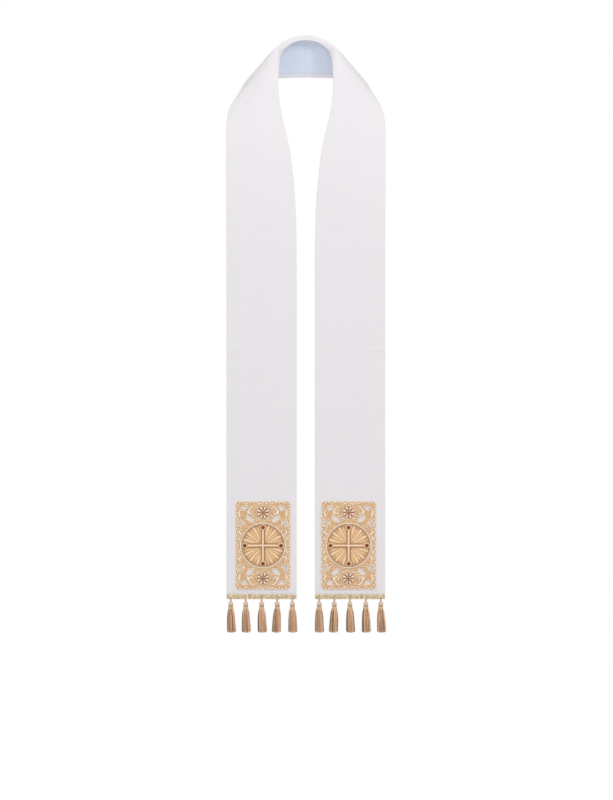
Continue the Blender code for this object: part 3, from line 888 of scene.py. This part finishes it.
def opening_outlines(grow=0.0, count=28):
    """Ovals in all four quarters, this much larger than the openings themselves."""
    outlines = []
    for opening in OPENINGS:
        tilt = math.radians(opening.tilt)
        long, short = (circle_line(count) * (opening.half_long + grow, opening.half_short + grow)).T
        x = opening.x + long * math.cos(tilt) - short * math.sin(tilt)
        y = opening.y + long * math.sin(tilt) + short * math.cos(tilt)
        outlines += [np.column_stack([across * x, up * y]) for across, up in QUARTERS]
    return outlines


def make_ground(side_name, side):
    """Stiffened ground of couched gold threads, cut through at the openings."""
    curve = bpy.data.curves.new("ground outline", "CURVE")
    curve.dimensions = "2D"
    curve.fill_mode = "BOTH"
    curve.extrude = (GROUND_FACE - GROUND_BACK) / 2 - 0.15
    curve.bevel_depth = 0.15
    curve.bevel_resolution = 1
    curve.offset = -0.15
    for outline in [scalloped_outline(), *opening_outlines()]:
        line = curve.splines.new("POLY")
        line.points.add(len(outline) - 1)
        for point, (x, y) in zip(line.points, outline):
            point.co = (x, y, 0, 1)
        line.use_cyclic_u = True
    pattern = bpy.data.objects.new("ground pattern", curve)
    bpy.context.scene.collection.objects.link(pattern)
    graph = bpy.context.evaluated_depsgraph_get()
    mesh = bpy.data.meshes.new_from_object(pattern.evaluated_get(graph))
    shape = new_shape()
    shape.from_mesh(mesh)
    bpy.data.objects.remove(pattern, do_unlink=True)
    bpy.data.meshes.remove(mesh)
    bmesh.ops.translate(shape, vec=(0, 0, (GROUND_FACE + GROUND_BACK) / 2), verts=shape.verts)
    return finish_piece(
        f"gold_ground_{side_name}", shape, ["ground"], [f"applique_ground_{side_name}"],
        on_panel(side), sharp=35,
    )


def make_cords(side_name, side):
    """Twisted cords round the applique, inside its scallops and round every opening."""
    shape = new_shape()
    add_rope(shape, raised_line(scalloped_outline(inset=0.7), 1.3), 0.95, 3.2, 0.36, closed=True)
    corner = np.array((APPLIQUE_WIDTH, APPLIQUE_HEIGHT)) / 2 - BORDER_INSET - BORDER_CORNER
    border = []
    for x, y, start in ((1, 1, 0), (-1, 1, 90), (-1, -1, 180), (1, -1, 270)):
        for angle in np.radians(np.linspace(start, start + 90, 7)):
            border.append(corner * (x, y) + BORDER_CORNER * direction_at(angle))
    add_rope(shape, raised_line(np.array(border), 1.5), 0.8, 3, 0.36, closed=True, finish_number=1)
    for outline in opening_outlines(grow=0.7, count=40):
        add_rope(shape, raised_line(outline, 1.4), 0.85, 2.8, 0.36, closed=True)
    return finish_piece(
        f"gold_cords_{side_name}", shape, ["cream rope", "rope"], [], on_panel(side)
    )


def make_scallop_fans(side_name, side):
    """Fan of three satin petals over a brown edge in every scallop, with a bead at its root."""
    cream, gold, bead, brown = range(4)
    shape = new_shape()
    for number, (start, stop, outwards) in enumerate(scallops()):
        root = (start + stop) / 2 - outwards * 3.9
        along = (stop - start) / np.linalg.norm(stop - start)
        for petal in (-1, 0, 1):
            angle = math.radians(44 * petal)
            direction = outwards * math.cos(angle) + along * math.sin(angle)
            reach = 6.3 - 0.5 * abs(petal)
            line = straight_line(root + direction * 0.8, root + direction * reach, 7)
            add_satin(shape, line, leaf_widths(7, 4.6, 0.6), STEM_HEIGHT, STEM_BACK, brown)
            tone = gold if (number + petal) % 2 else cream
            add_satin(shape, line[:-1], leaf_widths(6, 3.5, 0.6), 1.0, STEM_BACK, tone)
        add_bead(shape, (*root, GROUND_FACE + 0.5), 1.1, finish_number=bead)
    return finish_piece(
        f"scallop_fans_{side_name}", shape, ["cream stitch", "gold stitch", "gold bead", "brown stitch"], [],
        on_panel(side),
    )


# Scroll work of one quarter: points along each stem or leaf, its width and its fullest place
Scroll = namedtuple("Scroll", "knots width fullest")
SCROLLS = [
    Scroll(
        [(15.5, 83), (22, 81.5), (27.5, 77), (29.5, 70.5), (26.5, 65.8), (21.8, 67), (21.5, 71.5), (25, 72.2)],
        2.6, 0.3,
    ),
    Scroll([(36, 61), (41.5, 60), (45.3, 64), (43.6, 69), (38.6, 69.6), (36.8, 66.2), (39.6, 64.6)], 2.4, 0.3),
    Scroll([(49.6, 79), (50, 70), (49.2, 61.5), (46, 57)], 2.6, 0.5),
    Scroll([(18.5, 50), (13, 51.5), (7.5, 49.8)], 2.8, 0.5),
    Scroll([(17, 54.5), (11.5, 56), (6.5, 53.5)], 2.4, 0.5),
    Scroll([(33.5, 37), (39, 38.6), (42.6, 43.6)], 3.2, 0.5),
    Scroll([(36, 42), (40.5, 46.5), (41, 52.5)], 3.0, 0.5),
    Scroll([(30.8, 47.5), (36.2, 49.5), (38.6, 55)], 2.8, 0.5),
    Scroll([(43.8, 22), (48.6, 26), (49.8, 33)], 3.2, 0.45),
    Scroll([(41.5, 29), (45.2, 32.3), (46.3, 36.3)], 2.6, 0.45),
    Scroll([(48.3, 9), (50.4, 14), (49.6, 20)], 2.4, 0.5),
    Scroll([(30.5, 81.8), (26.5, 84.6), (20.5, 85)], 2.6, 0.4),
    Scroll([(34, 74), (31.2, 68), (33.2, 63.5)], 2.4, 0.5),
    Scroll([(49, 83.5), (44.8, 84.3), (40.2, 84)], 2.2, 0.5),
    Scroll([(15.8, 61.5), (19.8, 60.8), (23.5, 61.8)], 2.2, 0.5),
    Scroll([(47.2, 70), (45.2, 74.5), (48.2, 74.3)], 1.6, 0.5),
    Scroll([(3.5, 88.2), (8.5, 86.2), (13.5, 88)], 1.6, 0.5),
    Scroll([(19.4, 75.5), (17.2, 71), (18.4, 66)], 1.8, 0.5),
    Scroll([(49.6, 1.5), (47.4, 5), (49, 8)], 1.5, 0.5),
    Scroll([(22.5, 41.6), (26, 44.6), (31.5, 44.4)], 2.0, 0.5),
    Scroll([(49.4, 37), (51.2, 42), (50.9, 48)], 1.3, 0.5),
]


SCROLL_BEADS = [(24.4, 69.2), (40.6, 66.6), (31, 83.4), (46.2, 18), (36.6, 31.6), (10, 47.4), (47.6, 53.9)]


def make_scrolls(side_name, side):
    """Leafy scrolls over brown edges, alike in all four quarters."""
    cream, gold, bead, brown = range(4)
    shape = new_shape()
    for number, scroll in enumerate(SCROLLS):
        count = 6 + 3 * len(scroll.knots)
        line = curved_line(scroll.knots, count)
        width = scroll.width * LEAF_WIDENING
        for quarter in QUARTERS:
            edge = leaf_widths(count, width + LEAF_EDGE, scroll.fullest)
            add_satin(shape, line * quarter, edge, STEM_HEIGHT, STEM_BACK, brown)
            leaf = leaf_widths(count, width, scroll.fullest)
            add_satin(shape, line * quarter, leaf, 1.2, STEM_BACK, gold if number % 2 else cream)
    for x, y in SCROLL_BEADS:
        for across, up in QUARTERS:
            add_bead(shape, (across * x, up * y, GROUND_FACE + 0.45), 0.95, finish_number=bead)
    return finish_piece(
        f"leaf_scrolls_{side_name}", shape, ["cream stitch", "gold stitch", "gold bead", "brown stitch"], [],
        on_panel(side),
    )


def make_glory(side_name, side):
    """Gold rays round the cross inside a ring of twisted cord."""
    pale, gold, cream_cord, dark_cord, bead, bronze = range(6)
    shape = new_shape()
    disc = bmesh.ops.create_cone(
        shape, cap_ends=True, segments=96, radius1=GLORY_RADIUS, radius2=GLORY_RADIUS - 0.4, depth=0.5,
        matrix=Matrix.Translation((0, 0, GROUND_FACE + 0.2)),
    )
    for point in disc["verts"]:
        for face in point.link_faces:
            face.material_index = bronze
    for ray in range(GLORY_RAYS):
        direction = direction_at((ray + 0.5) / GLORY_RAYS * math.tau)
        long = ray % 2 == 0
        reach = LONG_RAY if long else SHORT_RAY
        line = straight_line(direction * RAY_START, direction * reach, 9)
        widths = np.linspace(RAY_START, reach, 9) / GLORY_RAYS * math.tau * (0.86 if long else 0.72)
        widths[-1] = 0.1
        widths[-2] *= 0.75
        add_satin(shape, line, widths, 1.25 if long else 1.0, GROUND_FACE + 0.35, pale if long else gold)
        if not long:
            add_bead(shape, (*direction * (SHORT_RAY + 1.8), GROUND_FACE + 1), 1.2, finish_number=bead)
    outer, inner = circle_line(180, GLORY_RADIUS + 1.2), circle_line(180, GLORY_RADIUS - 1)
    add_rope(shape, raised_line(outer, 1.8), 1.25, 4.2, 0.42, closed=True, finish_number=cream_cord)
    add_rope(shape, raised_line(inner, 1.9), 0.6, 2.4, 0.42, closed=True, around=6, finish_number=dark_cord)
    finishes = ["pale stitch", "gold stitch", "cream rope", "dark rope", "gold bead", "bronze stitch"]
    return finish_piece(
        f"gold_rays_{side_name}", shape, finishes, [f"glory_{side_name}"], on_panel(side)
    )


def make_cross(side_name, side):
    """Padded roll in the form of a cross, with a bronze cord and a gold cord along each side."""
    finishes = ["padding", "dark rope", "rope"]
    shape = new_shape()
    for turn in range(4):
        turned = np.array(Matrix.Rotation(turn * math.pi / 2, 2))
        arm = straight_line((0, 0), (CROSS_HALF, 0), 34) @ turned.T
        widths = np.full(34, CROSS_PAD_WIDTH)
        widths[0] = widths[-1] = 0.2
        widths[1] = widths[-2] = 4.2
        add_satin(shape, arm, widths, 2.5, CROSS_BACK + 0.4, finish_number=0, around=9)
        for cord in CROSS_CORDS:
            near, bend, end = cord.offset, cord.offset + 1.4, CROSS_HALF - 0.6
            corner = [(end, near), (bend, near), (near + 0.4, near + 0.4), (near, bend), (near, end)]
            line = raised_line(np.array(corner) @ turned.T, cord.height)
            add_rope(shape, line, cord.radius, 3.4, 0.4, finish_number=finishes.index(cord.finish))
    return finish_piece(
        f"padded_cross_{side_name}", shape, finishes, [f"cross_{side_name}"], on_panel(side)
    )


def make_stones(side_name, side):
    """Red stones, each domed and held by a gold rim with a cord round it."""
    stone, gold, cord = range(3)
    shape = new_shape()
    base = STONE_RADIUS - 0.4
    dome = [(0, -0.2), (base, -0.2)]
    for angle in np.linspace(0, math.pi / 2, 8)[:-1]:
        dome.append((base * math.cos(angle), 0.3 + (STONE_HEIGHT - 0.3) * math.sin(angle)))
    dome.append((0, STONE_HEIGHT))
    rim = [(-0.9, -1.3), (0.5, -1.3), (0.45, 0.4), (0.1, 1.1), (-0.45, 1.25), (-0.55, 0.9), (-0.9, -1.3)]
    rim = [(STONE_RADIUS + out, height) for out, height in rim]
    places = {"top": (0, 1), "bottom": (0, -1), "inner": (-side, 0), "outer": (side, 0)}
    for x, y in places.values():
        middle = (x * STONE_PLACE, y * STONE_PLACE, STONE_BACK)
        spun(shape, dome, 28, middle, stone)
        spun(shape, rim, 28, middle, gold)
        ring = circle_line(48, STONE_RADIUS + 1.35) + middle[:2]
        add_rope(shape, raised_line(ring, STONE_BACK - 0.3), 0.9, 2.8, 0.4, closed=True, finish_number=cord)
    nodes = [f"stone_{place}_{side_name}" for place in places]
    return finish_piece(
        f"set_stones_{side_name}", shape, ["stone", "gold bead", "rope"], nodes,
        on_panel(side), sharp=60,
    )


def make_centre_bead(side_name, side):
    """White bead over the crossing, in a ring of small gold beads."""
    shape = new_shape()
    add_bead(shape, (0, 0, BEAD_MIDDLE), BEAD_RADIUS, segments=24)
    for x, y in circle_line(12, 3.5):
        add_bead(shape, (x, y, BEAD_MIDDLE - 0.5), 0.85, finish_number=1)
    return finish_piece(
        f"white_bead_{side_name}", shape, ["bead", "gold bead"], [f"centre_bead_{side_name}"],
        on_panel(side),
    )


def make_rosettes(side_name, side):
    """Flowers above and below the glory: russet petals with cream hearts, darts between them, and beads."""
    russet, cream, bead = range(3)
    shape = new_shape()
    for up in (-1, 1):
        middle = np.array((0, up * ROSETTE_PLACE))
        for petal in range(ROSETTE_PETALS):
            direction = direction_at((petal + 0.5) / ROSETTE_PETALS * math.tau)
            line = straight_line(middle + direction * 2.5, middle + direction * (ROSETTE_RADIUS - 0.4), 10)
            add_satin(shape, line, leaf_widths(10, 6.0, 0.62), 0.9, GROUND_FACE, russet)
            heart = straight_line(middle + direction * 3.6, middle + direction * (ROSETTE_RADIUS - 1.6), 9)
            add_satin(shape, heart, leaf_widths(9, 4.5, 0.62), 1.4, GROUND_FACE + 0.3, cream)
            direction = direction_at(petal / ROSETTE_PETALS * math.tau)
            dart = straight_line(middle + direction * 3, middle + direction * 12.6, 8)
            add_satin(shape, dart, leaf_widths(8, 1.3, 0.55), 1.5, GROUND_FACE + 0.3, russet)
            add_bead(shape, (*(middle + direction * 13.8), GROUND_FACE + 0.5), 0.95, finish_number=bead)
            add_bead(shape, (*(middle + direction * 2.9), GROUND_FACE + 1.6), 0.85, finish_number=bead)
        add_bead(shape, (*middle, GROUND_FACE + 1.5), 2.2, squash=0.75, finish_number=russet, segments=16)
    nodes = [f"rosette_top_{side_name}", f"rosette_bottom_{side_name}"]
    return finish_piece(
        f"russet_rosettes_{side_name}", shape, ["petals", "cream stitch", "gold bead"], nodes,
        on_panel(side),
    )


# Braid and tassels

def make_braid(side_name, side):
    """Three yarns twisted together flat along the hem, thinned at both ends."""
    shape = new_shape()
    share = np.linspace(0, 1, 361)
    x = side * (BRAID_START + share * BRAID_LENGTH)
    angles = np.linspace(0, math.tau, 19)[None, :]
    for yarn in range(3):
        uneven = 0.12 * np.sin(share * 37) + 0.09 * np.sin(share * 83 + 1.3)
        turn = (share * BRAID_LENGTH / PLAIT_LENGTH + yarn / 3 + uneven) * math.tau
        middle_y = BRAID_Y + YARN_SWAY_OUT * np.sin(2 * turn)
        middle_z = BRAID_Z + YARN_SWAY_UP * np.sin(turn)
        yarn_turn = share[:, None] * BRAID_LENGTH / YARN_TWIST_LENGTH * math.tau
        radii = 0.84 + 0.16 * np.abs(np.sin(2 * (angles - yarn_turn)))
        ends = np.minimum(share, 1 - share) * BRAID_LENGTH
        radii = radii * np.interp(ends, (0, 0.3, 1.2), (0, 0.8, 1))[:, None]
        rings = np.stack([
            x[:, None] + 0 * angles,
            middle_y[:, None] + YARN_HALF_DEPTH * radii * np.cos(angles),
            middle_z[:, None] + YARN_HALF_HEIGHT * radii * np.sin(angles),
        ], axis=2)
        along = share[:, None] * BRAID_LENGTH
        flat = np.stack([angles * 2 + yarn * 40 + 0 * radii, along + 0 * angles], axis=2)
        place_grid(shape, rings, flat)
    return finish_piece(f"twisted_braid_{side_name}", shape, ["braid"], [f"braid_{side_name}"])


def choose_bunches(chance):
    """Finish of each bunch: two tones in turn, with dark ones at both sides as painted shade and, as the
    threads' own tone, here and there.
    """
    bunches = [number % 2 for number in range(BUNCHES)]
    for number in (*SHADED_EDGE_BUNCHES, *[chance.randrange(*span) for span in DARK_SPANS]):
        bunches[number] = DARK_AND_SHADE_FINISH
    return bunches


def add_skirt(shape, lean, chance):
    """Fine threads from under the knob to the tassel's bottom, which hang in lighter and darker bunches."""
    bunches = choose_bunches(chance)
    tube_angles = np.linspace(0, math.tau, 4)
    for number in range(TASSEL_THREADS):
        spread = math.sqrt((number + 0.5) / TASSEL_THREADS)
        angle = (number * TURN_BETWEEN_THREADS + chance.uniform(-0.12, 0.12)) % math.tau
        turn = chance.uniform(-0.05, 0.05)
        end = TASSEL_BOTTOM - TASSEL_TOP + chance.uniform(0, 1.8) + 2.2 * spread**3
        finish_number = bunches[int(angle / math.tau * BUNCHES)]
        drops = np.array([*THREAD_DROPS, end])
        reach = spread * THREAD_REACH
        if finish_number == DARK_AND_SHADE_FINISH:
            reach = reach - DARK_SETBACK * spread
        reach = reach + chance.uniform(-0.25, 0.25) * np.array([0, 0.4, 1, 1, 1, 1])
        turns = angle + turn * np.array([0, 0, 0.5, 1.2, 2, 2.6])
        middle = np.stack([reach * np.cos(turns), reach * np.sin(turns), drops], axis=1)
        middle[:, 0] += lean * (drops / end) ** 2
        radii = THREAD_RADIUS * np.array([1, 1, 1, 1, 0.95, 0.7])
        rings = np.stack([
            middle[:, :1] + radii[:, None] * np.cos(tube_angles + angle),
            middle[:, 1:2] + radii[:, None] * np.sin(tube_angles + angle),
            middle[:, 2:] + 0 * tube_angles,
        ], axis=2)
        top = np.repeat(middle[:1, None, :] + (0, 0, 0.3), 4, axis=1)
        tip = np.repeat(middle[-1:, None, :] - (0, 0, 0.3), 4, axis=1)
        rings = np.concatenate([top, rings, tip])
        flat = np.stack([tube_angles * 0.4 + 0 * rings[:, :, 2], -rings[:, :, 2]], axis=2)
        place_grid(shape, rings, flat, finish_number)


def add_head(shape, finish_number):
    """Ribbed knob and the neck under it."""
    angles = np.linspace(0, math.tau, 73)[None, :]
    ribs = 1 + 0.07 * np.cos(angles * 12)
    drops, radii = HEAD_PROFILE[:, :1], HEAD_PROFILE[:, 1:] * ribs
    rings = np.stack([radii * np.cos(angles), radii * np.sin(angles), -drops + 0 * angles], axis=2)
    flat = np.stack([drops + 0 * angles, angles * 5.5 + 0 * drops], axis=2)
    place_grid(shape, rings, flat, finish_number)


def make_tassel(name, node, side, across, lean, seed):
    """Skirt, knob, bound neck and the loop that it hangs by."""
    finishes = ["skirt", "light skirt", "dark and shaded skirt", "head", "neck", "dark rope", "rope"]
    shape = new_shape()
    add_skirt(shape, lean, random.Random(seed))
    add_head(shape, finishes.index("head"))
    for winding in NECK_WINDINGS:
        line = raised_line(circle_line(36, winding.radius), -winding.drop)
        number = finishes.index(winding.finish)
        add_rope(shape, line, 0.8, 2.6, 0.55, closed=True, around=6, finish_number=number)
    angles = np.radians(np.linspace(-70, 250, 26))
    x, z = LOOP_HALF_WIDTH * np.cos(angles), LOOP_HALF_HEIGHT * np.sin(angles) - LOOP_DROP
    add_loop(shape, np.column_stack([x, 0 * angles, z]), LOOP_RADIUS, finishes.index("dark rope"))
    place = Matrix.Translation((side * across, BRAID_Y, TASSEL_TOP))
    return finish_piece(name, shape, finishes, [node], place)


# Stage

def make_stage():
    shape = bmesh.new()
    level = Matrix.Translation((0, 0, FLOOR_LEVEL))
    bmesh.ops.create_circle(shape, cap_ends=True, segments=64, radius=3, matrix=level)
    mesh = bpy.data.meshes.new("floor")
    shape.to_mesh(mesh)
    shape.free()
    white, tree, shader = start_finish("white floor", 0.9)
    shader.inputs["Base Color"].default_value = (0.75, 0.75, 0.75, 1)
    shader.inputs["Emission Color"].default_value = (1, 1, 1, 1)
    seen = add_node(tree, "ShaderNodeLightPath").outputs["Is Camera Ray"]
    tree.links.new(mixed(tree, seen, FLOOR_GLOW, 0), shader.inputs["Emission Strength"])
    mesh.materials.append(white)
    floor = bpy.data.objects.new("floor", mesh)
    bpy.context.scene.collection.objects.link(floor)


def make_lamp(lamp):
    """Round lamp that doesn't show in the picture itself."""
    light = bpy.data.lights.new(lamp.name, "AREA")
    light.shape = "DISK"
    light.size = lamp.width
    light.energy = lamp.power
    holder = bpy.data.objects.new(lamp.name, light)
    holder.location = lamp.place
    holder.rotation_euler = (Vector(lamp.target) - Vector(lamp.place)).to_track_quat("-Z", "Y").to_euler()
    holder.visible_camera = False
    bpy.context.scene.collection.objects.link(holder)


def light_scene():
    """White background, dimmer as light than it looks, and the lamps."""
    world = bpy.data.worlds.new("studio")
    world.use_nodes = True
    tree = world.node_tree
    seen = add_node(tree, "ShaderNodeLightPath").outputs["Is Camera Ray"]
    strength = mixed(tree, seen, BACKGROUND_SEEN - BACKGROUND_LIGHT, BACKGROUND_LIGHT)
    background = tree.nodes["Background"]
    background.inputs["Color"].default_value = (1, 1, 1, 1)
    tree.links.new(strength, background.inputs["Strength"])
    bpy.context.scene.world = world
    for lamp in LAMPS:
        make_lamp(lamp)


def make_camera():
    camera = bpy.data.cameras.new("camera")
    camera.lens = CAMERA_LENS
    camera.sensor_width = 36
    holder = bpy.data.objects.new("camera", camera)
    holder.location = CAMERA_PLACE
    holder.rotation_euler = (math.pi / 2, 0, 0)
    bpy.context.scene.collection.objects.link(holder)
    bpy.context.scene.camera = holder
    bpy.context.scene.view_settings.view_transform = "Standard"


def make_side(side_name, side):
    """One half of the stole: cloth, lining, slip stitches, what is sewn on and the tassels. The sizes of its
    cut as cloth and as lining are worked out but not used.
    """
    cloth = make_cloth(side_name, side)
    lining = make_lining(side_name, side)
    stitches = make_slip_stitches(side_name, side)
    sewn_on = [
        make_ground(side_name, side),
        make_cords(side_name, side),
        make_scallop_fans(side_name, side),
        make_scrolls(side_name, side),
        make_glory(side_name, side),
        make_cross(side_name, side),
        make_stones(side_name, side),
        make_centre_bead(side_name, side),
        make_rosettes(side_name, side),
        make_braid(side_name, side),
    ]
    for number, (across, lean) in enumerate(zip(TASSEL_PLACES, TASSEL_LEANS), start=1):
        name = f"threaded_tassel_{number}_{side_name}"
        seed = number * 10 + side
        sewn_on.append(make_tassel(name, f"tassel_{number}_{side_name}", side, across, lean, seed))
    size, area = flat_cut(TURNING, TURNING)
    size, area = flat_cut(-LINING_FROM_EDGE, -LINING_FROM_EDGE)


STRIP_LENGTHS, STRIP_ROWS = worn_strip()
STRIP_LENGTH = STRIP_LENGTHS[-1]
FINISH = make_finishes()
make_camera()
make_stage()
light_scene()
for side_name, side in SIDES.items():
    make_side(side_name, side)
